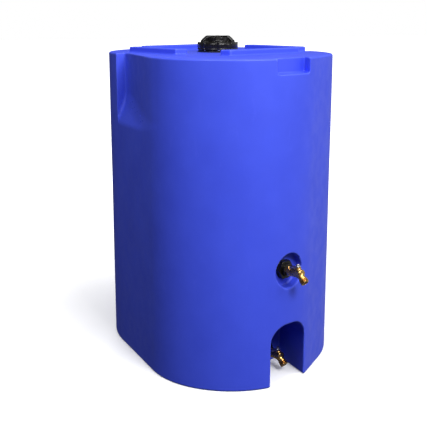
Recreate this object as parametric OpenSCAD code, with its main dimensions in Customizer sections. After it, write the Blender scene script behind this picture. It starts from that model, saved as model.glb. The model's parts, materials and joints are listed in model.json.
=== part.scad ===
// Stackable upright water storage tank with a screw lid and two brass ball taps.
// Millimetres. Origin on the floor under the centre of the plan, +Z up, -Y is the tap side.
// The plan is the same after half a turn about Z, so tanks stack either way round.

/* [Tank] */
// Width across the two flat sides
tank_w = 692; // [640:1:760]
// Height of the flat top deck above the floor
tank_h = 1005; // [900:1:1100]
// Thickness of the moulded wall
wall = 8; // [6:0.5:10]
// Radius of the rounded nose at the tap side
nose_r = 275; // [255:1:290]
// Distance of the nose centre in front of the middle
nose_y = 245; // [225:1:265]
// Radius of the broad curve from the side to the front flat
flank_r = 411; // [380:1:450]
// Distance of the broad curve's centre in front of the middle
flank_y = 59; // [40:1:75]

/* [Stacking lugs] */
// Height of the lugs on the deck
lug_h = 18; // [12:1:22]
// Width of each lug
lug_w = 45; // [35:1:55]
// Length of the two side lugs
side_lug_l = 282; // [220:1:290]
// Length of the front and rear lugs
end_lug_l = 336; // [260:1:350]

/* [Pockets] */
// Height of the hand pocket at the deck's front edge
pocket_h = 46; // [35:1:60]
// Width of the hand pocket
pocket_w = 132; // [100:1:150]
// Height of the side recess, from its foot to the deck
recess_h = 227; // [180:1:260]
// Depth of the side recess at its rear end
recess_d = 33; // [20:1:40]
// Distance of the recess's rear end behind the middle
recess_end_y = 52; // [20:1:80]

/* [Taps] */
// Direction of both taps, turned from straight ahead
tap_angle = 16; // [12:1:20]
// Height of the upper tap
upper_tap_z = 367; // [330:1:420]
// Height of the lower tap
lower_tap_z = 47; // [45:1:52]
// Radius of the round pocket of the upper tap
tap_pocket_r = 55; // [48:1:60]
// Depth of the round pocket
tap_pocket_d = 33; // [26:1:38]
// Radius of the bulkhead fitting's barrel
barrel_r = 20; // [19:0.5:21]
// Width across the flats of the bulkhead nut
nut_flats = 54; // [50:1:58]
// Distance of the tap's stem from the tank wall
stem_z = 64; // [60:1:72]
// Outer radius of the hose thread on the spout
hose_r = 13.2; // [12.5:0.1:13.5]
// Downward slope of the spout
spout_angle = 42; // [38:1:48]
// Reach of the lever from the stem
lever_l = 34; // [28:1:40]

/* [Drain tunnel] */
// Half of the tunnel's width at its mouth
tunnel_half_w = 74; // [70:1:80]
// Height of the tunnel's crown
tunnel_h = 195; // [180:1:220]
// Radius of the tunnel's upper corners
tunnel_corner_r = 63; // [50:1:70]
// Distance of the tunnel's middle line to the right of the centre
tunnel_x = 8.5; // [5:0.5:14]
// Amount by which the left wall leans in towards the back
tunnel_taper = 33; // [20:1:40]

/* [Lid] */
// Outer radius of the lid's skirt
lid_r = 70.5; // [68:0.5:74]
// Height of the lid from skirt to grip top
lid_h = 46; // [42:1:52]
// Radius of the raised grip
grip_r = 47; // [42:1:50]
// Outer radius of the threaded filler neck
neck_r = 58; // [56:0.5:60]
// Height of the neck's rim above the deck
neck_h = 26; // [24:1:28]
// Number of grip ribs round the skirt
lid_ribs = 8; // [6:1:12]

/* [Hidden] */

$fn = 96;
clear = 0.1;                       // radial clearance of a running fit
gap = 0.3;                         // gap between pieces that move past each other
past = 1;                          // overshoot of a cutting shape
reach = 1000;                      // about as long as the tank

// Plan outline: two arcs on each side, joined by their common tangent
nose_c = [nose_r - tank_w / 2, -nose_y];
flank_c = [tank_w / 2 - flank_r, -flank_y];
centres = flank_c - nose_c;
tangent_angle = atan2(centres[1], centres[0]) - acos((nose_r - flank_r) / norm(centres));

// Tap stations: a point on the outer face of the wall, and the tap's height
tap_dir = [sin(tap_angle), -cos(tap_angle)];
upper_station = concat(nose_c + (nose_r - tap_pocket_d) * tap_dir, upper_tap_z);
lower_station = [13, -333, lower_tap_z];

// Drain tunnel walls in plan
tunnel_left = tunnel_x - tunnel_half_w;
tunnel_right = tunnel_x + tunnel_half_w;
tunnel_mouth_y = -nose_y - nose_r;
tunnel_back_y = lower_station[1];

// Side recess
recess_front_y = -290;             // where its back wall runs out into the nose
recess_slope = 72;                 // height over which its foot slopes in
recess_rate = recess_d / (recess_end_y - recess_front_y);

// Hand pocket
pocket_x = 11;
pocket_d = 30;

// Lug middles and turns; the other two lugs are half a turn round
side_lug_at = [-226, -14];
side_lug_turn = 101.4;
end_lug_at = [40, -237];
end_lug_turn = 21.4;

// Bulkhead fitting, along the tap axis; zero is the wall's outer face, positive is outwards
seal_t = 3;
flange_t = 8;
flange_r = 32;
flange_z = -wall - seal_t - flange_t;
nut_t = 16;
nut_collar_t = 4;
nut_collar_r = nut_flats / 2 + 3;
barrel_end = 25;
barrel_hole_r = barrel_r + 0.6;
port_r = 13.2;

// Tap, in the same axis
inlet_foot = 2;
inlet_flats = 30;
inlet_hex_t = 10;
hex_end = barrel_end + inlet_hex_t;
body_r = 14;
chamber_r = 11.2;
bore_r = 6.5;
ball_r = 10;
seat_t = 4.5;
seat_bite = 1.3;                   // how far a seat laps round the ball
seat_in = stem_z - ball_r - seat_t + seat_bite;
seat_out = stem_z + ball_r + seat_t - seat_bite;
body_end = seat_out + 4;
body_collar_t = 5;
body_collar_r = 15.5;
slot_w = 3.2;                      // slot in the ball for the stem's tongue
slot_d = 2.6;
tongue_w = 3;
stem_r = 4;
boss_top = 16.8;
boss_r = 9.5;
gland_r = 6.8;
gland_depth = 4.6;
seal_h = 2.6;
hex_flats = 15;
lever_y = 20.6;
lever_t = 2.4;
lever_w = 10;
lever_tip = 4 - lever_l;           // the plate ends inside the sleeve
lever_hub_r = 8.5;
grip_t = 2.2;                      // thickness of the sleeve on the lever
grip_end_r = 7;
grip_foot = 11;                    // distance of the sleeve's near end from the stem
stud_r = 2.6;
stud_l = 6;
lever_nut_h = 4.6;
lever_nut_flats = 9;
spout_start = stem_z + 4;
spout_l = 37;
thread_l = 14;
spout_r = 10.6;
spout_bore_r = 8;
spout_bore_start = 8;
spout_collar_t = 4;
spout_collar_r = 12;

// Filler ring
seal_ring_t = 2;
ring_t = 4;
ring_r = 68;
throat_r = 50;
ring_top = tank_h + seal_ring_t + ring_t;
neck_top = tank_h + neck_h;
screw_count = 8;
screw_circle_r = 63;
screw_r = 2;
screw_end = 6;                     // length that comes out under the wall
head_r = 3.4;
head_h = 1.8;
socket_r = 1.2;
socket_d = 1;
neck_ridge_pitch = 5;
neck_ridge_d = 2;
lid_foot = tank_h + 8.5;
lid_top = lid_foot + lid_h;
lid_seal_t = 3;
lid_ceiling = neck_top + lid_seal_t;
lid_shoulder = lid_foot + 24;
lid_deck = lid_ceiling + 8;
lid_bore_r = neck_r + 3;
lid_edge = 1;
skirt_r = lid_r - 2;
shoulder_drop = 3;
rib_r = 3;
rib_turn = 21.4;
arm_count = 6;
arm_turn = 5;
arm_spread = atan2(22, 100);       // half of the angle that one grip arm spans
arm_depth = 10;
spoke_t = 6;
grip_ring_t = 7;
grip_ring_drop = 5;
spoke_drop = 8;

blue = "#2b3ee0";
black = "#161616";
brass = "#c79a4b";
steel = "#c9ccd0";
white = "#e8e6df";
rubber = "#262626";
navy = "#10143a";

// A child and its copy half a turn round
module both_ways() {
    for (turn = [0, 180]) rotate([0, 0, turn]) children();
}

// The tank's outline in plan, moved inwards by inset
module plan(inset = 0) {
    nr = nose_r - inset;
    fr = flank_r - inset;
    ray = [cos(tangent_angle), sin(tangent_angle)];
    half = [nose_c - [nr, 0], nose_c + nr * ray, flank_c + fr * ray, flank_c + [fr, 0]];
    beyond = 1.3 * fr;
    polygon(concat(half, [for (p = half) -p]));
    both_ways() {
        translate(nose_c) circle(nr);
        intersection() {
            translate(flank_c) circle(fr);
            polygon([flank_c, flank_c + beyond * ray, flank_c + [beyond, 0]]);
        }
    }
}

module prism(z0, z1) {
    translate([0, 0, z0]) linear_extrude(z1 - z0) children();
}

// Ring or disc about Z, from z0 to z1
module tube(z0, z1, outer, inner = 0) {
    translate([0, 0, z0]) difference() {
        cylinder(h = z1 - z0, r = outer);
        if (inner > 0) translate([0, 0, -past]) cylinder(h = z1 - z0 + 2 * past, r = inner);
    }
}

// Hexagonal prism about Z, measured across its flats
module hex(z0, z1, flats) {
    translate([0, 0, z0]) cylinder(h = z1 - z0, r = flats / 2 / cos(30), $fn = 6);
}

// The four stacking lugs in plan, grown or shrunk by grow
module lugs_plan(grow = 0) {
    both_ways() {
        translate(side_lug_at) rotate(side_lug_turn)
            square([side_lug_l + 2 * grow, lug_w + 2 * grow], center = true);
        translate(end_lug_at) rotate(end_lug_turn)
            square([end_lug_l + 2 * grow, lug_w + 2 * grow], center = true);
    }
}

// Space of the drain tunnel: its plan, standing walls and rounded crown
module tunnel_space(grow = 0) {
    lean = tunnel_taper / (tunnel_back_y - tunnel_mouth_y);
    back = tunnel_back_y + grow / cos(tap_angle);
    left = tunnel_left + tunnel_taper - grow;
    right = tunnel_right + grow;
    front = tunnel_mouth_y - 3 * past;
    intersection() {
        prism(-past, tunnel_h + grow) polygon([
            [tunnel_left - grow - 3 * past * lean, front],
            [right, front],
            [right, back + (right - lower_station[0]) * tan(tap_angle)],
            [left, back + (left - lower_station[0]) * tan(tap_angle)]]);
        translate([tunnel_x, 0, 0]) rotate([90, 0, 0])
            linear_extrude(reach) tunnel_front(tunnel_half_w + grow, tunnel_h + grow, tunnel_corner_r + grow);
    }
}

module tunnel_front(half_w, height, corner) {
    translate([-half_w, -past]) square([2 * half_w, height - corner + past]);
    translate([corner - half_w, -past]) square([2 * (half_w - corner), height + past]);
    for (side = [-1, 1]) translate([side * (half_w - corner), height - corner]) circle(corner);
}

// Space of the round pocket of the upper tap
module tap_pocket_space(grow = 0) {
    at_tap(upper_station) tube(-grow, tap_pocket_d + nose_r, tap_pocket_r + grow);
}

// Space of the hand pocket at the deck's edge; its back follows the outline
module hand_pocket_space(grow = 0) {
    prism(tank_h - pocket_h - grow, tank_h + past) difference() {
        translate([pocket_x - pocket_w / 2 - grow, -nose_y - reach])
            square([pocket_w + 2 * grow, reach]);
        plan(pocket_d + grow);
    }
}

// Space of the side recess: a wedge in plan with a sloping foot
module side_recess_space(grow = 0) {
    deep = recess_d - tank_w / 2 + grow;
    far = -tank_w / 2 - 100;
    front = -nose_y - nose_r;
    end_y = recess_end_y + grow;
    foot = tank_h - recess_h - grow;
    intersection() {
        prism(0, tank_h + past) polygon([
            [deep, end_y], [far, end_y], [far, front], [deep - (end_y - front) * recess_rate, front]]);
        translate([0, reach, 0]) rotate([90, 0, 0]) linear_extrude(2 * reach) polygon([
            [far, foot - 1], [grow - tank_w / 2, foot], [deep, foot + recess_slope],
            [deep, tank_h + past], [far, tank_h + past]]);
    }
}

// A point on the tap axis: local Z runs outwards along the tap, local Y is up
module at_tap(station) {
    translate(station) rotate([90, 0, tap_angle]) children();
}

// The stem's axis: local Z runs up the stem
module at_stem() {
    translate([0, 0, stem_z]) rotate([-90, 0, 0]) children();
}

// The spout's axis: local Z runs down and outwards
module at_spout() {
    translate([0, 0, spout_start]) rotate([spout_angle, 0, 0]) children();
}

module tank_shell() {
    color(blue) difference() {
        union() {
            prism(0, tank_h) plan();
            prism(tank_h - past, tank_h + lug_h) lugs_plan();
        }
        difference() {
            union() {
                prism(wall, tank_h - wall) plan(wall);
                prism(tank_h - wall - past, tank_h + lug_h - wall) lugs_plan(-wall);
            }
            tunnel_space(wall);
            tap_pocket_space(wall);
            both_ways() {
                hand_pocket_space(wall);
                side_recess_space(wall);
            }
        }
        tunnel_space();
        tap_pocket_space();
        both_ways() {
            hand_pocket_space();
            side_recess_space();
        }
        tube(tank_h - wall - past, tank_h + past, throat_r + 2);
        for (station = [upper_station, lower_station])
            at_tap(station) tube(-wall - past, past, barrel_hole_r);
        screw_layout() tube(tank_h - wall - past, tank_h + past, screw_r + clear);
    }
}

// Filler
module screw_layout() {
    for (i = [0 : screw_count - 1]) rotate([0, 0, (i + 0.5) * 360 / screw_count])
        translate([screw_circle_r, 0, 0]) children();
}

module fill_ring() {
    color(black) difference() {
        union() {
            tube(tank_h + seal_ring_t, ring_top, ring_r);
            tube(tank_h + seal_ring_t, neck_top, neck_r - neck_ridge_d + 0.5);
            for (z = [ring_top + 3 : neck_ridge_pitch : neck_top - 4]) translate([0, 0, z]) rotate_extrude()
                polygon([[neck_r - neck_ridge_d, -1.6], [neck_r, -0.5], [neck_r, 0.5],
                    [neck_r - neck_ridge_d, 1.6]]);
        }
        tube(tank_h, neck_top + past, throat_r);
        screw_layout() tube(tank_h, ring_top + past, screw_r + gap);
    }
}

module fill_ring_gasket() {
    color(rubber) difference() {
        tube(tank_h, tank_h + seal_ring_t, ring_r, throat_r + 2);
        screw_layout() tube(tank_h - past, ring_top, screw_r + gap);
    }
}

module fill_ring_screws() {
    color(steel) screw_layout() {
        tube(tank_h - wall - screw_end, ring_top, screw_r);
        difference() {
            tube(ring_top, ring_top + head_h, head_r);
            tube(ring_top + head_h - socket_d, ring_top + head_h + past, socket_r);
        }
    }
}

// Lid: a hollow skirted cap with ribs and a raised lobed grip
module lid_cap() {
    wedge = lid_r * [cos(arm_spread), sin(arm_spread)];
    spoke_l = 2 * grip_r - arm_depth;
    color(black) {
        rotate_extrude() polygon([
            [0, lid_ceiling], [lid_bore_r, lid_ceiling], [lid_bore_r, lid_foot],
            [skirt_r - lid_edge, lid_foot], [skirt_r, lid_foot + lid_edge], [skirt_r, lid_shoulder],
            [skirt_r - shoulder_drop, lid_shoulder + shoulder_drop],
            [grip_r + shoulder_drop, lid_deck], [0, lid_deck]]);
        for (i = [0 : lid_ribs - 1]) rotate([0, 0, i * 360 / lid_ribs + rib_turn])
            translate([lid_r - rib_r, 0, 0]) tube(lid_foot + lid_edge, lid_shoulder, rib_r);
        tube(lid_deck - past, lid_top - grip_ring_drop, grip_r - 2, grip_r - 2 - grip_ring_t);
        for (i = [0 : arm_count - 1]) rotate([0, 0, i * 360 / arm_count + arm_turn]) {
            intersection() {
                tube(lid_deck - past, lid_top, grip_r, grip_r - arm_depth);
                prism(lid_deck - 2 * past, lid_top + past) polygon([[0, 0], wedge, [wedge[0], -wedge[1]]]);
            }
            translate([0, -spoke_t / 2, lid_deck - past])
                cube([spoke_l / 2, spoke_t, lid_top - spoke_drop - lid_deck + past]);
        }
    }
}

module lid_gasket() {
    color(rubber) tube(neck_top, lid_ceiling, neck_r + 1, throat_r + 1);
}

// Bulkhead fitting
module bulkhead_body() {
    color(black) difference() {
        union() {
            tube(flange_z, flange_z + flange_t, flange_r);
            tube(flange_z, barrel_end, barrel_r);
        }
        tube(flange_z - past, barrel_end + past, port_r);
    }
}

module bulkhead_gasket() {
    color(rubber) tube(flange_z + flange_t, -wall, flange_r - 1, barrel_r + clear);
}

module bulkhead_nut() {
    color(black) difference() {
        union() {
            hex(0, nut_t, nut_flats);
            tube(0, nut_collar_t, nut_collar_r);
        }
        tube(-past, nut_t + past, barrel_r + clear);
    }
}

// Ball tap
module tap_inlet() {
    color(brass) difference() {
        union() {
            tube(inlet_foot, barrel_end + past, port_r - clear);
            hex(barrel_end, hex_end, inlet_flats);
            tube(hex_end - past, seat_in, chamber_r);
        }
        tube(inlet_foot - past, seat_in + past, bore_r);
    }
}

module tap_body() {
    color(brass) difference() {
        union() {
            tube(hex_end, body_end, body_r);
            tube(hex_end, hex_end + body_collar_t, body_collar_r);
            at_stem() tube(0, boss_top, boss_r);
            at_spout() {
                tube(0, spout_l, spout_r);
                tube(spout_l - thread_l, spout_l, hose_r);
                tube(spout_l - thread_l - spout_collar_t, spout_l - thread_l, spout_collar_r);
            }
        }
        tube(hex_end - past, seat_out, chamber_r + clear);
        at_spout() tube(spout_bore_start, spout_l + past, spout_bore_r);
        at_stem() tube(0, boss_top + past, stem_r + gap);
        at_stem() tube(boss_top - gland_depth, boss_top + past, gland_r + clear);
    }
}

module ball_seats() {
    color(white) for (foot = [seat_in, seat_out - seat_t]) difference() {
        tube(foot, foot + seat_t, chamber_r, bore_r);
        translate([0, 0, stem_z]) sphere(ball_r + clear);
    }
}

// Closed: the ball's bore lies across the flow
module tap_ball() {
    color(steel) difference() {
        translate([0, 0, stem_z]) rotate([0, 90, 0]) rotate_extrude() intersection() {
            circle(ball_r);
            translate([bore_r, -ball_r]) square([ball_r, 2 * ball_r]);
        }
        at_stem() translate([-slot_w / 2, -ball_r, ball_r - slot_d])
            cube([slot_w, 2 * ball_r, slot_d + past]);
    }
}

module tap_stem() {
    color(brass) at_stem() {
        intersection() {
            tube(ball_r - slot_d + clear, ball_r + past, stem_r);
            translate([-tongue_w / 2, -stem_r, 0]) cube([tongue_w, 2 * stem_r, 2 * ball_r]);
        }
        tube(ball_r + gap, lever_y, stem_r);
        tube(lever_y - past, lever_y + lever_t + stud_l, stud_r);
    }
}

module stem_seal() {
    foot = boss_top - gland_depth;
    color(white) at_stem() tube(foot, foot + seal_h, gland_r, stem_r + clear);
}

module packing_nut() {
    foot = boss_top - gland_depth + seal_h;
    color(brass) at_stem() difference() {
        union() {
            tube(foot, boss_top + past, gland_r);
            hex(boss_top, lever_y - 2 * gap, hex_flats);
        }
        tube(foot - past, lever_y, stem_r + clear);
    }
}

// Lever: lies across the tap when closed, and turns to point along the spout when open
module tap_handle() {
    color(steel) at_stem() difference() {
        union() {
            tube(lever_y, lever_y + lever_t, lever_hub_r);
            translate([lever_tip, -lever_w / 2, lever_y]) cube([-lever_tip, lever_w, lever_t]);
        }
        tube(lever_y - past, lever_y + lever_t + past, stud_r + 0.05);
    }
}

module handle_grip() {
    color(navy) at_stem() difference() {
        union() {
            translate([grip_end_r - lever_l, -grip_end_r, lever_y - grip_t])
                cube([lever_l - grip_end_r - grip_foot, 2 * grip_end_r, lever_t + 2 * grip_t]);
            translate([grip_end_r - lever_l, 0, 0])
                tube(lever_y - grip_t, lever_y + lever_t + grip_t, grip_end_r);
        }
        translate([lever_tip, -lever_w / 2, lever_y]) cube([lever_l, lever_w, lever_t]);
    }
}

module handle_nut() {
    color(steel) at_stem() difference() {
        hex(lever_y + lever_t, lever_y + lever_t + lever_nut_h, lever_nut_flats);
        tube(lever_y, lever_y + lever_t + lever_nut_h + past, stud_r + 0.02);
    }
}

tank_shell();
fill_ring();
fill_ring_gasket();
fill_ring_screws();
lid_cap();
lid_gasket();
at_tap(upper_station) bulkhead_body();  // upper_bulkhead_body
at_tap(upper_station) bulkhead_gasket();  // upper_bulkhead_gasket
at_tap(upper_station) bulkhead_nut();  // upper_bulkhead_nut
at_tap(upper_station) tap_inlet();  // upper_tap_inlet
at_tap(upper_station) tap_body();  // upper_tap_body
at_tap(upper_station) ball_seats();  // upper_ball_seats
at_tap(upper_station) tap_ball();  // upper_tap_ball
at_tap(upper_station) tap_stem();  // upper_tap_stem
at_tap(upper_station) stem_seal();  // upper_stem_seal
at_tap(upper_station) packing_nut();  // upper_packing_nut
at_tap(upper_station) tap_handle();  // upper_tap_handle
at_tap(upper_station) handle_grip();  // upper_handle_grip
at_tap(upper_station) handle_nut();  // upper_handle_nut
at_tap(lower_station) bulkhead_body();  // lower_bulkhead_body
at_tap(lower_station) bulkhead_gasket();  // lower_bulkhead_gasket
at_tap(lower_station) bulkhead_nut();  // lower_bulkhead_nut
at_tap(lower_station) tap_inlet();  // lower_tap_inlet
at_tap(lower_station) tap_body();  // lower_tap_body
at_tap(lower_station) ball_seats();  // lower_ball_seats
at_tap(lower_station) tap_ball();  // lower_tap_ball
at_tap(lower_station) tap_stem();  // lower_tap_stem
at_tap(lower_station) stem_seal();  // lower_stem_seal
at_tap(lower_station) packing_nut();  // lower_packing_nut
at_tap(lower_station) tap_handle();  // lower_tap_handle
at_tap(lower_station) handle_grip();  // lower_handle_grip
at_tap(lower_station) handle_nut();  // lower_handle_nut
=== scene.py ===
"""Looks of the stackable water tank: moulded shell, screw lid and brass ball taps.

Each visible piece is modelled as a signed distance field in millimetres, so that edges and
inside corners carry the soft radii of moulding and casting, and is then meshed.
"""

import json
import math

import bpy
import numpy as np
from mathutils import Matrix, Vector


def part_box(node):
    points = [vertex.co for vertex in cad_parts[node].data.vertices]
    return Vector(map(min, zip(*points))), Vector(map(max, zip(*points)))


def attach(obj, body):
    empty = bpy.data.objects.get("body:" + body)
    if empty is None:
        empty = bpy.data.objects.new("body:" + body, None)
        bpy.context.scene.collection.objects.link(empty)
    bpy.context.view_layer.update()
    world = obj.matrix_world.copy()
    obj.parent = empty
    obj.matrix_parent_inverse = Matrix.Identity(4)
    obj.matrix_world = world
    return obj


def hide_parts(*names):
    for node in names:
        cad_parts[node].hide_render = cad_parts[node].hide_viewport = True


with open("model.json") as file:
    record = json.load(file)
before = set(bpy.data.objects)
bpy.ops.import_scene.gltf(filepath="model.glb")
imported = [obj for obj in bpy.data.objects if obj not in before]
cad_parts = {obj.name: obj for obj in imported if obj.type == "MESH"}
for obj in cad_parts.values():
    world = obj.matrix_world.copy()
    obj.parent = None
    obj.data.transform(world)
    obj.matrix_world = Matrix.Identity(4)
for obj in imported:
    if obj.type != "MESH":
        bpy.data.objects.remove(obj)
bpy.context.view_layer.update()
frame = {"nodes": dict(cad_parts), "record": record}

MM = 0.001
FAR = 1e4

# ---- Fields ---------------------------------------------------------------------------------
# A field is negative inside the solid. Sizes are in millimetres.


def both(a, b, r=0.0):
    """Intersection of two fields, its edge rounded to radius r."""
    if not r:
        return np.maximum(a, b)
    return np.minimum(-r, np.maximum(a, b)) + np.hypot(np.maximum(a + r, 0), np.maximum(b + r, 0))


def either(a, b, r=0.0):
    """Union of two fields, its inside corner filled to radius r."""
    return -both(-a, -b, r)


def without(a, b, r=0.0):
    """Field a with b taken away, the edge of the cut rounded to radius r."""
    return both(a, -b, r)


def slab(v, low, high):
    return np.maximum(low - v, v - high)


def rod(a, b, v, radius, low, high, r=0.0):
    """Cylinder about the axis a = b = 0, from low to high along v."""
    return both(np.hypot(a, b) - radius, slab(v, low, high), r)


def hexagon(a, b, v, flats, low, high):
    """Hexagonal prism along v whose corners are turned off by a cone at both ends."""
    end_face_share, cone_slope, cone_scale = 1.045, 1.7, 2
    edge_r, corner_r = 0.4, 0.3
    sides = [np.abs(a * math.cos(t) + b * math.sin(t)) for t in np.radians([30, 90, 150])]
    body = both(np.maximum.reduce(sides) - flats / 2, slab(v, low, high), edge_r)
    end = np.minimum(v - low, high - v)
    cone = (np.hypot(a, b) - flats / 2 * end_face_share - end * cone_slope) / cone_scale
    return both(body, cone, corner_r)


def helix_thread(a, b, v, radius, depth, pitch, low, high):
    """Solid rod with a rounded helical thread that runs out at both ends."""
    end_share, steepness, edge_r = 0.3, 0.8, 0.3
    turn = np.arctan2(b, a) / (2 * math.pi)
    wave = 0.5 + 0.5 * np.cos(2 * math.pi * (v / pitch - turn))
    fade = np.clip(np.minimum(v - low, high - v) / pitch + end_share, 0, 1)
    crest = radius - depth * (1 - wave * fade)
    return both((np.hypot(a, b) - crest) * steepness, slab(v, low, high), edge_r)


# ---- Meshing --------------------------------------------------------------------------------

GRID_MARGIN = 1.6
LEAST_SLOPE_SQUARED = 0.25
SHARP_COSINE = 0.75


def crossings(field, points, axis):
    """Where the field changes sign along one axis: a mask, and the place of each crossing."""
    ends = [slice(None)] * 3
    starts = list(ends)
    starts[axis], ends[axis] = slice(None, -1), slice(1, None)
    f0, f1 = field[tuple(starts)], field[tuple(ends)]
    mask = (f0 < 0) != (f1 < 0)
    shape = [1, 1, 1]
    shape[axis] = -1
    grid = points[axis]
    step = np.where(mask, f0 / np.where(mask, f0 - f1, 1), 0)
    place = grid[:-1].reshape(shape) + step * np.diff(grid).reshape(shape)
    return mask, place.astype(np.float32)


def surface_net(field, points):
    """Dual mesh of the zero surface: one vertex for each cell it crosses, one quad an edge."""
    cells = tuple(n - 1 for n in field.shape)
    total = np.zeros(cells, np.float32)
    sums = [np.zeros(cells, np.float32) for _ in range(3)]
    found = [crossings(field, points, axis) for axis in range(3)]
    for axis, (mask, place) in enumerate(found):
        others = [k for k in range(3) if k != axis]
        for shift_a in (0, 1):
            for shift_b in (0, 1):
                cut = [slice(None)] * 3
                for k, shift in zip(others, (shift_a, shift_b)):
                    cut[k] = slice(shift, shift + cells[k])
                hit = mask[tuple(cut)]
                total += hit
                sums[axis] += np.where(hit, place[tuple(cut)], 0)
                for k, shift in zip(others, (shift_a, shift_b)):
                    shape = [1, 1, 1]
                    shape[k] = -1
                    sums[k] += hit * points[k][shift:shift + cells[k]].reshape(shape)
    used = total > 0
    number = np.full(cells, -1, np.int32)
    number[used] = np.arange(used.sum(), dtype=np.int32)
    verts = np.stack([s[used] / total[used] for s in sums], 1).astype(float)
    quads = []
    for axis, (mask, _) in enumerate(found):
        b, c = (axis + 1) % 3, (axis + 2) % 3
        at = np.argwhere(mask)
        at = at[(at[:, b] > 0) & (at[:, b] < cells[b]) & (at[:, c] > 0) & (at[:, c] < cells[c])]
        corner = []
        for db, dc in ((1, 1), (0, 1), (0, 0), (1, 0)):
            cell = at.copy()
            cell[:, b] -= db
            cell[:, c] -= dc
            corner.append(number[tuple(cell.T)])
        quad = np.stack(corner, 1)
        flip = field[tuple(at.T)] >= 0
        quad[flip] = quad[flip][:, ::-1]
        quads.append(quad)
    return verts, np.concatenate(quads)


def field_slope(field, verts, h):
    """The field's gradient at each point, over steps of h."""
    return np.stack([
        (field(*(verts + h * axis).T) - field(*(verts - h * axis).T)) / (2 * h)
        for axis in np.eye(3)], 1)


def settle(verts, field, reach):
    """Moves each vertex on to the field's zero surface by two Newton steps."""
    for _ in range(2):
        value = field(*verts.T)
        slope = field_slope(field, verts, 0.02 * reach)
        step = value / np.maximum((slope ** 2).sum(1), LEAST_SLOPE_SQUARED)
        verts = verts - np.clip(step, -reach, reach)[:, None] * slope
    return verts


def grid_line(*spans):
    """Grid points from (start, end, spacing) spans that follow on from each other."""
    parts = [np.linspace(a, b, max(1, round((b - a) / step)), endpoint=False)
             for a, b, step in spans]
    return np.concatenate(parts + [[spans[-1][1]]])


def even_grid(low, high, pitch):
    margin = GRID_MARGIN * pitch
    return [grid_line((a - margin, b + margin, pitch)) for a, b in zip(low, high)]


def smooth_by_field(mesh, field, reach):
    """Shades each corner by the field's own slope, except across edges that are truly sharp."""
    count = len(mesh.vertices)
    verts = np.empty(3 * count, np.float32)
    mesh.vertices.foreach_get("co", verts)
    slope = field_slope(field, verts.reshape(-1, 3).astype(float) / MM, 0.1 * reach)
    slope /= np.maximum(np.linalg.norm(slope, axis=1, keepdims=True), 1e-9)
    loop_vertex = np.empty(len(mesh.loops), np.int32)
    mesh.loops.foreach_get("vertex_index", loop_vertex)
    face_normal = np.empty(3 * len(mesh.polygons), np.float32)
    mesh.polygons.foreach_get("normal", face_normal)
    loop_total = np.empty(len(mesh.polygons), np.int32)
    mesh.polygons.foreach_get("loop_total", loop_total)
    flat = np.repeat(face_normal.reshape(-1, 3), loop_total, axis=0)
    smooth = slope[loop_vertex]
    sharp = (smooth * flat).sum(1) < SHARP_COSINE
    mesh.normals_split_custom_set(np.where(sharp[:, None], flat, smooth).tolist())


def mesh_of(name, field, grid, keep_share=1.0):
    """Meshes a field over a grid into an object in metres, thinned to keep_share of its faces."""
    values = field(*np.meshgrid(*grid, indexing="ij", sparse=True)).astype(np.float32)
    verts, quads = surface_net(values, grid)
    reach = 0.4 * min(np.diff(g).min() for g in grid)
    verts = settle(verts, field, reach)
    mesh = bpy.data.meshes.new(name)
    mesh.vertices.add(len(verts))
    mesh.vertices.foreach_set("co", (verts * MM).astype(np.float32).ravel())
    mesh.loops.add(quads.size)
    mesh.loops.foreach_set("vertex_index", quads.ravel().astype(np.int32))
    mesh.polygons.add(len(quads))
    mesh.polygons.foreach_set("loop_start", np.arange(0, quads.size, 4, dtype=np.int32))
    mesh.update(calc_edges=True)
    mesh.validate()
    obj = bpy.data.objects.new(name, mesh)
    bpy.context.scene.collection.objects.link(obj)
    if keep_share < 1:
        thin = obj.modifiers.new("thin", "DECIMATE")
        thin.ratio = keep_share
        depsgraph = bpy.context.evaluated_depsgraph_get()
        obj.data = bpy.data.meshes.new_from_object(obj.evaluated_get(depsgraph))
        obj.modifiers.clear()
        bpy.data.meshes.remove(mesh)
        obj.data.name = name
    obj.data.shade_smooth()
    smooth_by_field(obj.data, field, reach)
    return obj


# ---- Tank shell -----------------------------------------------------------------------------

shell_low, shell_high = (np.array(corner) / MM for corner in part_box("tank_shell"))
HALF_W = shell_high[0]
LUG_TOP = shell_high[2]
LUG_H = 18
TANK_H = LUG_TOP - LUG_H
WALL = 8
NOSE_R, FLANK_R = 275, 411
NOSE = np.array([NOSE_R - HALF_W, -245])
FLANK = np.array([HALF_W - FLANK_R, -59])
TAP_ANGLE = math.radians(16)
TAP_SIDE = np.array([math.cos(TAP_ANGLE), math.sin(TAP_ANGLE)])
TAP_OUT = np.array([math.sin(TAP_ANGLE), -math.cos(TAP_ANGLE)])
POCKET_DEPTH = 33
STATIONS = {
    "upper": np.array([*(NOSE + (NOSE_R - POCKET_DEPTH) * TAP_OUT), 367]),
    "lower": np.array([13, -333, 47])}
POCKET_R = 55
LUGS = [
    # middle, turn in degrees, length; each has a twin half a turn away
    ((-226, -14), 101.4, 282),
    ((40, -237), 21.4, 336)]
LUG_W = 45
LUG_ROOT = 20
RIM_R = 6
MOUTH_R = 52
TAP_HOLE_R = 20.6


def tangent_directions():
    """Normal and direction of the straight line between the nose arc and the flank arc."""
    between = FLANK - NOSE
    opening = math.acos((NOSE_R - FLANK_R) / np.linalg.norm(between))
    turn = math.atan2(between[1], between[0]) - opening
    return np.array([math.cos(turn), math.sin(turn)]), np.array([-math.sin(turn), math.cos(turn)])


RAY, ALONG = tangent_directions()


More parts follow.
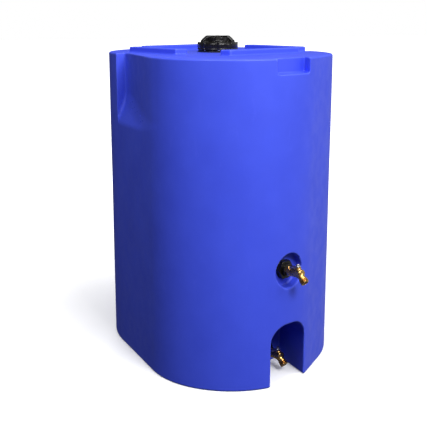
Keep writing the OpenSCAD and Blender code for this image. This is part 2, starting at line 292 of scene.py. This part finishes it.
def half_plan(x, y):
    """Distance past the front and right stretches of the outline, seen from above."""
    nx, ny, fx, fy = x - NOSE[0], y - NOSE[1], x - FLANK[0], y - FLANK[1]
    past_nose = nx * ALONG[0] + ny * ALONG[1]
    past_flank = fx * ALONG[0] + fy * ALONG[1]
    nose = np.where((ny <= 0) & (past_nose <= 0), np.hypot(nx, ny) - NOSE_R, -FAR)
    line = np.where((past_nose > 0) & (past_flank < 0), nx * RAY[0] + ny * RAY[1] - NOSE_R, -FAR)
    flank = np.where((past_flank >= 0) & (fy <= 0), np.hypot(fx, fy) - FLANK_R, -FAR)
    return np.maximum.reduce([nose, line, flank, x - HALF_W + 0 * y])


def moulding_waves(x, y, z):
    """The slow unevenness of a large moulded wall, never proud of the nominal surface."""
    height = 0.1
    slow = np.sin(x / 83 + z / 117) + np.sin(y / 97 - z / 71 + 1) + np.sin((x + y) / 151 + z / 211)
    return 3 * height + height * slow


def at_tap(station, x, y, z):
    """Tap coordinates: to the right, up, and outwards from the wall."""
    dx, dy = x - station[0], y - station[1]
    return dx * TAP_SIDE[0] + dy * TAP_SIDE[1], z - station[2], dx * TAP_OUT[0] + dy * TAP_OUT[1]


def lug(x, y, z, middle, turn, length):
    """Stacking lug: a long block on the deck, turned about Z."""
    corner_r, edge_r = 6, 3.5
    c, s = math.cos(math.radians(turn)), math.sin(math.radians(turn))
    dx, dy = x - middle[0], y - middle[1]
    along, across = np.abs(dx * c + dy * s), np.abs(dy * c - dx * s)
    flat = both(along - length / 2, across - LUG_W / 2, corner_r)
    return both(flat, slab(z, TANK_H - LUG_ROOT, LUG_TOP), edge_r)


def tunnel(x, y, z):
    """Drain tunnel for the lower tap: arched mouth, left wall leaning in, flat back."""
    middle, half_w, height, arch_r, side_r, back_r = 8.5, 74, 195, 63, 6, 9
    mouth_y, lean = -520, 33 / 187
    arch = both(np.abs(x - middle) - half_w, z - height, arch_r)
    left = (middle - half_w + (y - mouth_y) * lean - x) / math.hypot(1, lean)
    back = -at_tap(STATIONS["lower"], x, y, z)[2]
    return both(both(arch, left, side_r), back, back_r)


def tap_pocket(x, y, z):
    """Round pocket for the upper tap, its floor square to the tap."""
    floor_r = 8
    a, b, out = at_tap(STATIONS["upper"], x, y, z)
    return both(np.hypot(a, b) - POCKET_R, -out, floor_r)


def hand_pocket(x, y, z, side):
    """Notch in the nose's upper edge, cut to an even depth."""
    middle, half_w, height, depth, corner_r = 11, 66, 46, 30, 7
    opening = both(np.abs(x - middle) - half_w, TANK_H - height - z, corner_r)
    return both(both(opening, -(side + depth), corner_r), y - NOSE[1])


def side_recess(x, y, z, side):
    """Let into the flat side: deepest at its rear end, running out in front, sloping foot."""
    depth, end_y, front_y, height, foot_h, end_r, foot_r = 33, 52, -290, 227, 72, 5, 14
    along = (y - front_y) / (end_y - front_y)
    back = -(side + depth * np.where(along > 0, along ** 2 * (3 - 2 * np.minimum(along, 1)), along))
    rise = foot_h / depth
    foot = (TANK_H - height - side * rise - z) / math.hypot(1, rise)
    return both(both(both(back, y - end_y, end_r), foot, foot_r), x + HALF_W / 2)


def tank_outside(x, y, z):
    """Outer surface: the plan raised to the deck, its lugs, and all that is cut into it."""
    lug_foot_r, tunnel_edge_r, pocket_edge_r, recess_edge_r = 5, 6, 4, 3
    side = np.maximum(half_plan(x, y), half_plan(-x, -y)) + moulding_waves(x, y, z)
    tank = both(side, slab(z, 0, TANK_H), RIM_R)
    for turn in (1, -1):
        for middle, angle, length in LUGS:
            tank = either(tank, lug(turn * x, turn * y, z, middle, angle, length), lug_foot_r)
    tank = without(tank, tunnel(x, y, z), tunnel_edge_r)
    tank = without(tank, tap_pocket(x, y, z), pocket_edge_r)
    for turn in (1, -1):
        tank = without(tank, hand_pocket(turn * x, turn * y, z, side), recess_edge_r)
        tank = without(tank, side_recess(turn * x, turn * y, z, side), recess_edge_r)
    return tank


def tank_shell(x, y, z):
    """Hollow tank with the filler mouth and a hole for each tap."""
    outside = tank_outside(x, y, z)
    shell = np.maximum(outside, -(outside + WALL))
    mouth = rod(x, y, z, MOUTH_R, TANK_H - 3 * WALL, TANK_H + WALL)
    shell = without(shell, mouth, 1.5)
    for station in STATIONS.values():
        hole = rod(*at_tap(station, x, y, z), TAP_HOLE_R, -2 * WALL, 2 * WALL)
        shell = without(shell, hole, 1)
    return shell


def tank_grid(pitch):
    """Fine along Z only where the shell has features."""
    fine = pitch / 2
    z = grid_line((-3 * fine, 12, fine), (12, 130, 1.3 * pitch), (130, 216, 0.8 * pitch),
                  (216, 304, 1.6 * pitch), (304, 430, 0.8 * pitch), (430, 760, 2.5 * pitch),
                  (760, 880, pitch), (880, 945, 1.6 * pitch), (945, LUG_TOP + 3 * fine, fine))
    return [*even_grid(shell_low[:2], shell_high[:2], pitch), z]


# ---- Lid and filler -------------------------------------------------------------------------

lid_low, lid_high = (np.array(corner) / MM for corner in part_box("lid_cap"))
ring_low, ring_high = (np.array(corner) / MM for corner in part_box("fill_ring"))
LID_FOOT, LID_TOP = lid_low[2], lid_high[2]
LID_R = lid_high[0]
GRIP_ROOT, GRIP_TOP = 20, LID_TOP - LID_FOOT
SKIRT_H = 28.5
LID_BORE_R, LID_BORE_H = 60.8, 20.5
ARM_COUNT, ARM_START = 6, 5
RIB_COUNT, RIB_START = 8, 21.4
NECK_R = 58
THROAT_R = 50
LID_PITCH = 5


def folded(x, y, count, start):
    """Coordinates along and across the nearest of count rays, the first at start degrees."""
    step = 2 * math.pi / count
    angle = np.arctan2(y, x) - math.radians(start)
    angle = angle - step * np.round(angle / step)
    radius = np.hypot(x, y)
    return radius * np.cos(angle), radius * np.sin(angle)


def lid_skirt(x, y, h):
    """Skirt with a foot bead and upright ribs, and the shoulder that slopes up from it."""
    shoulder_r, shoulder_run, shoulder_scale = 50, 2.6, 2.8
    bead_h, rib_r, rib_inset, rib_foot, rib_top = 3.5, 3, 3.2, 0.5, 25
    radius = np.hypot(x, y)
    wall = both(radius - LID_R + 2, h - SKIRT_H, 1)
    slope = (radius - shoulder_r + (h - SKIRT_H) * shoulder_run) / shoulder_scale
    skirt = both(both(wall, slope, 4), -h, 1)
    skirt = either(skirt, rod(x, y, h, LID_R - 0.8, 0, bead_h, 1.2), 1)
    along, across = folded(x, y, RIB_COUNT, RIB_START)
    rib = rod(along - LID_R + rib_inset, across, h, rib_r, rib_foot, rib_top, 1)
    return either(skirt, rib, 2)


def lid_grip(lid, x, y, h):
    """Adds the raised ring, the six arms that cross it and the boss in their middle."""
    ring_r, ring_hollow_r, ring_floor, ring_drop = 45, 37, 29.5, 5
    arm_half_w, arm_taper, arm_r, arm_top_r, arm_run, arm_scale = 5.5, 0.05, 62, 42, 1.3, 1.64
    boss_r, boss_drop = 13, 1.5
    ring = rod(x, y, h, ring_r, GRIP_ROOT, GRIP_TOP - ring_drop, 2)
    ring = without(ring, rod(x, y, h, ring_hollow_r, ring_floor, GRIP_TOP), 2)
    lid = either(lid, ring, 2)
    along, across = folded(x, y, ARM_COUNT, ARM_START)
    arm = both(np.abs(across) - arm_half_w - along * arm_taper, along - arm_r, 2)
    arm = both(arm, (along - arm_top_r + (h - GRIP_TOP) * arm_run) / arm_scale, 2.5)
    arm = both(arm, slab(h, GRIP_ROOT, GRIP_TOP), 2)
    lid = either(lid, arm, 2)
    return either(lid, rod(x, y, h, boss_r, GRIP_ROOT, GRIP_TOP - boss_drop, 2), 3)


def lid_thread(x, y, h):
    """Thread on the inside of the skirt."""
    crest_r, depth, foot, top, root_r, edge_r = 58.9, 2.2, 3, 18, 62, 0.5
    radius = np.hypot(x, y)
    turn = np.arctan2(y, x) / (2 * math.pi)
    wave = 0.5 + 0.5 * np.cos(2 * math.pi * (h / LID_PITCH - turn))
    thread = both(crest_r + depth * (1 - wave) - radius, slab(h, foot, top), edge_r)
    return both(thread, radius - root_r)


def lid_cap(x, y, z):
    """Screw lid: ribbed skirt, sloping shoulder and a raised grip, threaded inside."""
    h = z - LID_FOOT
    lid = lid_grip(lid_skirt(x, y, h), x, y, h)
    lid = without(lid, rod(x, y, h, LID_BORE_R, -WALL, LID_BORE_H), 1)
    lid = either(lid, lid_thread(x, y, h), 0.5)
    return both(lid, h - GRIP_TOP)


def fill_ring(x, y, z):
    """Flanged filler neck with its outside thread."""
    flange_top, thread_depth = TANK_H + 6, 1.8
    ring = rod(x, y, z, ring_high[0], ring_low[2], flange_top, 1)
    neck = helix_thread(x, y, z, NECK_R, thread_depth, LID_PITCH, ring_low[2], ring_high[2])
    return without(either(ring, neck, 1.5), rod(x, y, z, THROAT_R, 0, 2 * TANK_H), 0.8)


# ---- Bulkhead nut and ball tap --------------------------------------------------------------
# Tap coordinates: x to the right, y up, z outwards from the tank wall.

NUT_FLATS, NUT_L = 54, 16
INLET_FOOT, INLET_FLATS = 2, 30
BARREL_END, HEX_END = 25, 35
BORE_R = 6.5
STEM_Z = 64
SEAT_HALF_L = 13.2
SEAT_IN, SEAT_OUT, BODY_END = STEM_Z - SEAT_HALF_L, STEM_Z + SEAT_HALF_L, STEM_Z + 17.2
BODY_COLLAR_R = 15.5
BOSS_TOP = 16.8
GLAND_FOOT = 14.8
GLAND_FLATS = 15
LEVER_Y, LEVER_T, LEVER_L, LEVER_EYE_R = 20.6, 2.4, 34, 8.5
LEVER_TOP = LEVER_Y + LEVER_T
GRIP_T, GRIP_HALF_W, GRIP_END = 2.2, 7, -11
HANDLE_NUT_FLATS, HANDLE_NUT_H, HANDLE_COLLAR_H = 9, 3.6, 4.6
SPOUT_START, SPOUT_L, SPOUT_ANGLE = STEM_Z + 4, 37, math.radians(42)
HOSE_R, HOSE_PITCH, HOSE_THREAD_L, HOSE_THREAD_DEPTH = 13.2, 2.2, 14, 1.5


def bulkhead_nut(x, y, z):
    collar_r, collar_h, hole_r = 30, 4, 20.2
    nut = hexagon(x, y, z, NUT_FLATS, 0, NUT_L)
    nut = either(nut, rod(x, y, z, collar_r, 0, collar_h, 1), 1.5)
    return without(nut, rod(x, y, z, hole_r, -NUT_L, 2 * NUT_L), 0.8)


def tap_inlet(x, y, z):
    """Barrel that screws into the bulkhead, its hexagon, and the tail inside the tap's body."""
    barrel_r, tail_r = 13.1, 11.2
    inlet = rod(x, y, z, barrel_r, INLET_FOOT, HEX_END)
    inlet = either(inlet, hexagon(x, y, z, INLET_FLATS, BARREL_END, HEX_END))
    inlet = either(inlet, rod(x, y, z, tail_r, HEX_END - 1, SEAT_IN, 0.3))
    return without(inlet, rod(x, y, z, BORE_R, -INLET_FOOT, STEM_Z), 0.4)


def tap_body(x, y, z):
    """Cast barrel with a collar, the stem's boss and the threaded spout."""
    barrel_r, barrel_bore_r, collar_l = 14, 11.3, 5
    boss_r, stem_hole_r, gland_r, gland_floor = 9.5, 4.3, 6.9, 12.2
    spout_r, spout_bore_r, spout_bore_start, spout_collar_r, spout_collar_l = 10.6, 8, 8, 12, 4
    body = rod(x, y, z, barrel_r, HEX_END, BODY_END, 3)
    body = either(body, rod(x, y, z, BODY_COLLAR_R, HEX_END, HEX_END + collar_l, 0.8), 1)
    body = either(body, rod(x, z - STEM_Z, y, boss_r, 0, BOSS_TOP, 0.6), 3)
    down = (z - SPOUT_START) * math.cos(SPOUT_ANGLE) - y * math.sin(SPOUT_ANGLE)
    side = y * math.cos(SPOUT_ANGLE) + (z - SPOUT_START) * math.sin(SPOUT_ANGLE)
    thread_foot = SPOUT_L - HOSE_THREAD_L
    collar = rod(x, side, down, spout_collar_r, thread_foot - spout_collar_l, thread_foot, 0.8)
    body = either(body, rod(x, side, down, spout_r, 0, SPOUT_L, 0.5), 4)
    body = either(body, collar, 1)
    body = either(body, helix_thread(x, side, down, HOSE_R, HOSE_THREAD_DEPTH, HOSE_PITCH,
                                     thread_foot, SPOUT_L))
    body = without(body, rod(x, y, z, barrel_bore_r, BARREL_END, SEAT_OUT))
    body = without(body, rod(x, side, down, spout_bore_r, spout_bore_start, 2 * SPOUT_L), 0.7)
    body = without(body, rod(x, z - STEM_Z, y, stem_hole_r, 0, 2 * BOSS_TOP))
    return without(body, rod(x, z - STEM_Z, y, gland_r, gland_floor, 2 * BOSS_TOP), 0.3)


def packing_nut(x, y, z):
    """Gland nut: a hexagon on a short plug that presses on the stem's seal."""
    plug_r, plug_top, hole_r, lever_gap = 6.8, 18, 4.1, 0.6
    nut = hexagon(x, z - STEM_Z, y, GLAND_FLATS, BOSS_TOP, LEVER_Y - lever_gap)
    nut = either(nut, rod(x, z - STEM_Z, y, plug_r, GLAND_FOOT, plug_top))
    return without(nut, rod(x, z - STEM_Z, y, hole_r, 0, 2 * LEVER_Y), 0.3)


def lever_plate(x, y, z):
    """Flat lever: a round eye and a straight arm towards -x."""
    half_w, tip = 5, 4 - LEVER_L
    arm = both(np.abs(z - STEM_Z) - half_w, slab(x, tip, 0), 2)
    flat = either(arm, np.hypot(x, z - STEM_Z) - LEVER_EYE_R, 3)
    return both(flat, slab(y, LEVER_Y, LEVER_TOP), 0.9)


def tap_handle(x, y, z):
    hole_r = 2.65
    return without(lever_plate(x, y, z), rod(x, z - STEM_Z, y, hole_r, 0, 2 * LEVER_TOP), 0.3)


def handle_grip(x, y, z):
    """Dipped sleeve over the lever's arm, with shallow cross ribs on its flat faces."""
    rib_h, rib_pitch, rib_half_w = 0.25, 3.2, 5
    end_x = GRIP_HALF_W - LEVER_L
    end = np.hypot(np.minimum(x - end_x, 0), z - STEM_Z) - GRIP_HALF_W
    ribs = rib_h * (1 + np.cos(2 * math.pi * x / rib_pitch)) * (np.abs(z - STEM_Z) < rib_half_w)
    flat = slab(y, LEVER_Y - GRIP_T + ribs, LEVER_TOP + GRIP_T - ribs)
    sleeve = both(both(end, x - GRIP_END, 1.5), flat, 2.4)
    return without(sleeve, lever_plate(x, y, z))


def handle_nut(x, y, z):
    """Locking nut: hexagon below, round collar on top."""
    collar_r, hole_r = 4.2, 2.62
    nut = hexagon(x, z - STEM_Z, y, HANDLE_NUT_FLATS, LEVER_TOP, LEVER_TOP + HANDLE_NUT_H)
    collar = rod(x, z - STEM_Z, y, collar_r, LEVER_TOP, LEVER_TOP + HANDLE_COLLAR_H, 0.8)
    nut = either(nut, collar, 0.3)
    return without(nut, rod(x, z - STEM_Z, y, hole_r, 0, 2 * LEVER_TOP), 0.2)


# ---- Materials ------------------------------------------------------------------------------


class Finish:
    """A node material: one Principled shader, with helpers for its colour and relief."""

    def __init__(self, name, **sockets):
        self.material = bpy.data.materials.new(name)
        self.material.use_nodes = True
        self.tree = self.material.node_tree
        self.shader = self.tree.nodes["Principled BSDF"]
        self.coords = self.add("ShaderNodeTexCoord").outputs["Object"]
        for socket, value in sockets.items():
            self.shader.inputs[socket.replace("_", " ")].default_value = value

    def add(self, kind, links=None, **values):
        """New node: links holds its linked inputs, values its properties or constant inputs."""
        node = self.tree.nodes.new(kind)
        for key, value in values.items():
            if hasattr(node, key):
                setattr(node, key, value)
            else:
                node.inputs[key.replace("_", " ")].default_value = value
        for key, output in (links or {}).items():
            self.tree.links.new(output, node.inputs[key])
        return node

    def stretched(self, scale):
        links = {"Vector": self.coords}
        return self.add("ShaderNodeMapping", links, Scale=scale).outputs["Vector"]

    def noise(self, scale, detail=3.0, coords=None):
        links = {"Vector": coords or self.coords}
        return self.add("ShaderNodeTexNoise", links, Scale=scale, Detail=detail).outputs["Fac"]

    def ranged(self, value, low, high, start=0.35, end=0.65):
        """value mapped from start..end to low..high."""
        node = self.add("ShaderNodeMapRange", {"Value": value})
        for socket, number in zip(("From Min", "From Max", "To Min", "To Max"),
                                  (start, end, low, high)):
            node.inputs[socket].default_value = number
        return node.outputs["Result"]

    def mixed(self, share, first, second):
        """Colour between first and second; either may be a colour or a node's output."""
        node = self.add("ShaderNodeMix", data_type="RGBA")
        self.tree.links.new(share, node.inputs["Factor"])
        for socket, colour in ((node.inputs[6], first), (node.inputs[7], second)):
            if isinstance(colour, bpy.types.NodeSocket):
                self.tree.links.new(colour, socket)
            else:
                socket.default_value = (*colour, 1)
        return node.outputs[2]

    def edges(self, start=0.52, end=0.6):
        """1 on outside edges, 0 elsewhere: worn edges, and on the tank partly a painted edge
        highlight.
        """
        geometry = self.add("ShaderNodeNewGeometry").outputs["Pointiness"]
        return self.ranged(geometry, 0, 1, start, end)

    def hollows(self, start=0.48, end=0.42):
        """1 in inside corners, 0 elsewhere."""
        geometry = self.add("ShaderNodeNewGeometry").outputs["Pointiness"]
        return self.ranged(geometry, 0, 1, start, end)

    def drive(self, socket, output):
        self.tree.links.new(output, self.shader.inputs[socket])

    def relief(self, *layers):
        """Bump from (height output, distance in metres) layers, coarse first."""
        normal = None
        for height, distance in layers:
            links = {"Height": height}
            if normal:
                links["Normal"] = normal
            normal = self.add("ShaderNodeBump", links, Distance=distance).outputs["Normal"]
        self.drive("Normal", normal)


def tank_plastic():
    """Rotomoulded polyethylene: satin blue, faint pigment mottling, fine orange peel."""
    f = Finish("tank_plastic", Specular_IOR_Level=0.3)
    mottle = f.ranged(f.noise(9, 5), 0, 1)
    body = f.mixed(mottle, (0.046, 0.078, 0.70), (0.051, 0.086, 0.74))
    specks = f.ranged(f.noise(520, 2), 0, 0.35, 0.62, 0.72)
    body = f.mixed(specks, body, (0.034, 0.056, 0.54))
    scuffs = f.ranged(f.noise(60, 6, f.stretched((1, 1, 0.35))), 0, 0.3, 0.62, 0.75)
    body = f.mixed(scuffs, body, (0.070, 0.105, 0.78))
    # Lighter blue on outside edges: partly scuffing, partly a painted highlight standing in for the
    # rim's reflected light line.
    body = f.mixed(f.edges(), body, (0.085, 0.13, 0.84))
    f.drive("Base Color", body)
    f.drive("Roughness", f.ranged(f.noise(24, 4), 0.42, 0.54))
    f.relief((f.noise(7, 2), 0.0012), (f.noise(95, 3), 0.00012), (f.noise(620, 2), 0.00003))
    return f.material


def black_plastic():
    """Injection-moulded black: spark-eroded grain, lighter rubbed edges."""
    f = Finish("black_plastic", Specular_IOR_Level=0.4)
    body = f.mixed(f.ranged(f.noise(40, 4), 0, 1), (0.004, 0.0035, 0.0035), (0.007, 0.006, 0.006))
    dust = f.ranged(f.noise(180, 5), 0, 0.12, 0.55, 0.7)
    body = f.mixed(dust, body, (0.03, 0.028, 0.026))
    f.drive("Base Color", f.mixed(f.edges(0.53, 0.66), body, (0.03, 0.029, 0.028)))
    f.drive("Roughness", f.ranged(f.noise(90, 3), 0.16, 0.28))
    f.relief((f.noise(60, 2), 0.0001), (f.noise(1400, 2), 0.00002))
    return f.material


def brass(name, grain, tone, roughness):
    """Brass, cast with a sandy grain or machined; darker in its hollows, brighter on edges."""
    f = Finish(name, Metallic=1.0)
    body = f.mixed(f.ranged(f.noise(130, 4), 0, 1), tone, tuple(0.86 * c for c in tone))
    body = f.mixed(f.hollows(), body, (0.26, 0.13, 0.035))
    f.drive("Base Color", f.mixed(f.edges(0.53, 0.63), body, (0.98, 0.76, 0.40)))
    f.drive("Roughness", f.ranged(f.noise(210, 4), *roughness))
    f.relief((f.noise(300, 3), grain), (f.noise(1900, 2), grain / 4))
    return f.material


def steel(name, tone, roughness, lay=(1, 12, 1)):
    """Plated or turned steel with a fine directional lay."""
    f = Finish(name, Metallic=1.0)
    lines = f.noise(240, 4, f.stretched(lay))
    f.drive("Base Color", f.mixed(f.ranged(lines, 0, 1), tone, tuple(0.8 * c for c in tone)))
    f.drive("Roughness", f.ranged(lines, *roughness))
    f.relief((lines, 0.00002),)
    return f.material


def soft(name, tone, high, roughness, grain):
    """Rubber, vinyl or seat plastic: two close tones and a fine grain."""
    f = Finish(name, Specular_IOR_Level=0.4)
    f.drive("Base Color", f.mixed(f.ranged(f.noise(80, 4), 0, 1), tone, high))
    f.drive("Roughness", f.ranged(f.noise(150, 3), *roughness))
    f.relief((f.noise(700, 3), grain),)
    return f.material


def floor_finish():
    """Pale studio floor, barely uneven, that glows into the white surroundings far out."""
    f = Finish("studio_floor", Specular_IOR_Level=0.2, Emission_Color=(1, 1, 1, 1))
    length = f.add("ShaderNodeVectorMath", {"Vector": f.coords}, operation="LENGTH")
    f.drive("Emission Strength", f.ranged(length.outputs["Value"], 0.2, 1, 0.7, 4))
    patches = f.ranged(f.noise(1.5, 3), 0, 1)
    f.drive("Base Color", f.mixed(patches, (0.86, 0.86, 0.865), (0.88, 0.88, 0.885)))
    f.drive("Roughness", f.ranged(f.noise(5, 3), 0.6, 0.7))
    return f.material


FINISHES = {
    "tank_plastic": tank_plastic(),
    "black_plastic": black_plastic(),
    "brass": brass("brass", 0.00006, (0.72, 0.44, 0.14), (0.18, 0.32)),
    "brass_machined": brass("brass_machined", 0.00001, (0.88, 0.60, 0.22), (0.14, 0.24)),
    "chrome": steel("chrome", (0.78, 0.78, 0.79), (0.05, 0.12)),
    "lever_steel": steel("lever_steel", (0.74, 0.75, 0.77), (0.2, 0.34), (12, 1, 1)),
    "stainless": steel("stainless", (0.64, 0.64, 0.65), (0.22, 0.36)),
    "grip_vinyl": soft("grip_vinyl", (0.009, 0.009, 0.055), (0.013, 0.013, 0.080),
                       (0.26, 0.38), 0.00002),
    "seat_plastic": soft("seat_plastic", (0.80, 0.80, 0.77), (0.86, 0.86, 0.84),
                         (0.35, 0.45), 0.00001),
    "rubber": soft("rubber", (0.016, 0.016, 0.016), (0.026, 0.026, 0.026), (0.62, 0.8), 0.00004)}


# ---- Pieces ---------------------------------------------------------------------------------


def finish_piece(obj, body, node, finish):
    """The piece stands for its CAD node: same body, its own finish."""
    obj.data.materials.clear()
    obj.data.materials.append(FINISHES[finish])
    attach(obj, body)
    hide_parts(node)


def place_of(station):
    """Matrix from tap coordinates, in metres, to the frame."""
    right, up, out = (*TAP_SIDE, 0), (0, 0, 1), (*TAP_OUT, 0)
    rows = [(right[k], up[k], out[k], station[k] * MM) for k in range(3)]
    return Matrix([*rows, (0, 0, 0, 1)])


def build_tank():
    pitch = 5
    shell = mesh_of("tank_body", tank_shell, tank_grid(pitch), keep_share=0.4)
    finish_piece(shell, "tank", "tank_shell", "tank_plastic")


def build_lid():
    pitch = 1
    cap = mesh_of("screw_lid", lid_cap, even_grid(lid_low, lid_high, pitch), keep_share=0.5)
    finish_piece(cap, "lid", "lid_cap", "black_plastic")
    neck = mesh_of("filler_neck", fill_ring, even_grid(ring_low, ring_high, pitch), keep_share=0.5)
    finish_piece(neck, "tank", "fill_ring", "black_plastic")


TAP_PIECES = [
    # node, field, low and high corner in tap coordinates, grid pitch, slot, finish
    ("bulkhead_nut", bulkhead_nut, (-31.2, -31.2, 0), (31.2, 31.2, NUT_L), 0.9,
     "black_plastic", "black_plastic"),
    ("tap_inlet", tap_inlet, (-17.4, -17.4, INLET_FOOT), (17.4, 17.4, SEAT_IN), 0.6,
     "brass", "brass_machined"),
    ("tap_body", tap_body, (-BODY_COLLAR_R, -35, HEX_END), (BODY_COLLAR_R, 17, 105), 0.55,
     "brass", "brass"),
    ("packing_nut", packing_nut, (-8.7, GLAND_FOOT, STEM_Z - 9), (8.7, 20, STEM_Z + 9), 0.35,
     "brass", "brass_machined"),
    ("tap_handle", tap_handle, (4 - LEVER_L, LEVER_Y, STEM_Z - 9),
     (LEVER_EYE_R, LEVER_TOP, STEM_Z + 9), 0.4, "lever_steel", "lever_steel"),
    ("handle_grip", handle_grip, (-LEVER_L, LEVER_Y - GRIP_T, STEM_Z - 8),
     (GRIP_END, LEVER_TOP + GRIP_T, STEM_Z + 8), 0.4, "grip_vinyl", "grip_vinyl"),
    ("handle_nut", handle_nut, (-5.3, LEVER_TOP, STEM_Z - 6),
     (5.3, LEVER_TOP + HANDLE_COLLAR_H, STEM_Z + 6), 0.3, "lever_steel", "lever_steel")]


def build_taps():
    bodies = frame["record"]["behaviour"]["bodies"]
    body_of_node = {node: body for body, members in bodies.items() for node in members}
    coarser = 1
    for node, field, low, high, pitch, slot, finish in TAP_PIECES:
        grid = even_grid(low, high, pitch * coarser)
        first = mesh_of(f"upper_{node}_look", field, grid)
        second = bpy.data.objects.new(f"lower_{node}_look", first.data.copy())
        bpy.context.scene.collection.objects.link(second)
        for obj, place in ((first, "upper"), (second, "lower")):
            obj.data.transform(place_of(STATIONS[place]))
            cad_node = f"{place}_{node}"
            finish_piece(obj, body_of_node[cad_node], cad_node, finish)


def finish_cad_nodes():
    """The CAD nodes that stay take their record slot's finish."""
    slots = {part["node"]: part["material_slot"] for part in frame["record"]["subparts"]}
    for name, obj in frame["nodes"].items():
        if not obj.hide_render:
            obj.data.materials.clear()
            obj.data.materials.append(FINISHES[slots[name]])


build_tank()
build_lid()
build_taps()
finish_cad_nodes()


# ---- Studio ---------------------------------------------------------------------------------


def build_floor():
    mesh = bpy.data.meshes.new("studio_floor")
    reach = 40.0
    corners = [(-reach, -reach, 0), (reach, -reach, 0), (reach, reach, 0), (-reach, reach, 0)]
    mesh.from_pydata(corners, [], [(0, 1, 2, 3)])
    mesh.materials.append(floor_finish())
    floor = bpy.data.objects.new("studio_floor", mesh)
    bpy.context.scene.collection.objects.link(floor)
    floor.visible_diffuse = False
    floor.visible_glossy = False


SUN_PLACE, SUN_TARGET = (0.4, -1.0, 4.0), (0, 0, 0.6)
SUN_STRENGTH, SUN_SPREAD = 1.5, 40
AREA_LIGHTS = [
    # name, place, target, watts, width and height, whether it shows in reflections
    ("key", (0.1, -2.9, 2.5), (0, 0, 0.9), 82, (1.2, 1.0), True),
    ("left_fill", (-1.7, -1.2, 2.6), (-0.2, 0, 0.9), 36, (0.9, 0.9), True),
    ("rear_fill", (0.6, 3.4, 2.2), (0, 0, 0.7), 60, (1.6, 1.2), False),
    ("right_fill", (1.9, -2.2, 2.0), (0.2, 0, 0.8), 16, (0.4, 1.4), True)]


def add_light(light, place, target, energy):
    """Puts the light at place, facing target."""
    light.energy = energy
    obj = bpy.data.objects.new(light.name, light)
    obj.location = place
    obj.rotation_euler = (Vector(target) - Vector(place)).to_track_quat("-Z", "Y").to_euler()
    bpy.context.scene.collection.objects.link(obj)
    return obj


def build_lights():
    sun = bpy.data.lights.new("top_sun", "SUN")
    sun.angle = math.radians(SUN_SPREAD)
    add_light(sun, SUN_PLACE, SUN_TARGET, SUN_STRENGTH)
    for name, place, target, watts, size, in_reflections in AREA_LIGHTS:
        light = bpy.data.lights.new(name, "AREA")
        light.shape = "RECTANGLE"
        light.size, light.size_y = size
        add_light(light, place, target, watts).visible_glossy = in_reflections


def build_world():
    """Dim surroundings for light, brighter towards +X, and plain white behind the object."""
    world = bpy.data.worlds.new("studio")
    bpy.context.scene.world = world
    world.use_nodes = True
    nodes, links = world.node_tree.nodes, world.node_tree.links
    nodes.clear()
    path = nodes.new("ShaderNodeLightPath")
    around, behind = nodes.new("ShaderNodeBackground"), nodes.new("ShaderNodeBackground")
    around.inputs["Color"].default_value = (0.96, 0.98, 1.0, 1)
    direction = nodes.new("ShaderNodeSeparateXYZ")
    links.new(nodes.new("ShaderNodeTexCoord").outputs["Generated"], direction.inputs[0])
    brightness = nodes.new("ShaderNodeMapRange")
    links.new(direction.outputs["X"], brightness.inputs["Value"])
    spans = {"From Min": 0.2, "From Max": 0.9, "To Min": 0.08, "To Max": 0.45}
    for socket, number in spans.items():
        brightness.inputs[socket].default_value = number
    links.new(brightness.outputs["Result"], around.inputs["Strength"])
    behind.inputs["Color"].default_value = (1, 1, 1, 1)
    mix, out = nodes.new("ShaderNodeMixShader"), nodes.new("ShaderNodeOutputWorld")
    links.new(path.outputs["Is Camera Ray"], mix.inputs[0])
    links.new(around.outputs[0], mix.inputs[1])
    links.new(behind.outputs[0], mix.inputs[2])
    links.new(mix.outputs[0], out.inputs["Surface"])


def build_camera():
    place, pitch_down, turn = (-1.2655, -2.6704, 1.1188), 12.92, -25.08
    camera = bpy.data.cameras.new("camera")
    camera.sensor_width = 36
    camera.lens = 72
    obj = bpy.data.objects.new("camera", camera)
    obj.location = place
    obj.rotation_euler = (math.radians(90 - pitch_down), 0, math.radians(turn))
    bpy.context.scene.collection.objects.link(obj)
    bpy.context.scene.camera = obj


build_camera()
build_floor()
build_lights()
build_world()
bpy.context.scene.view_settings.view_transform = "Standard"
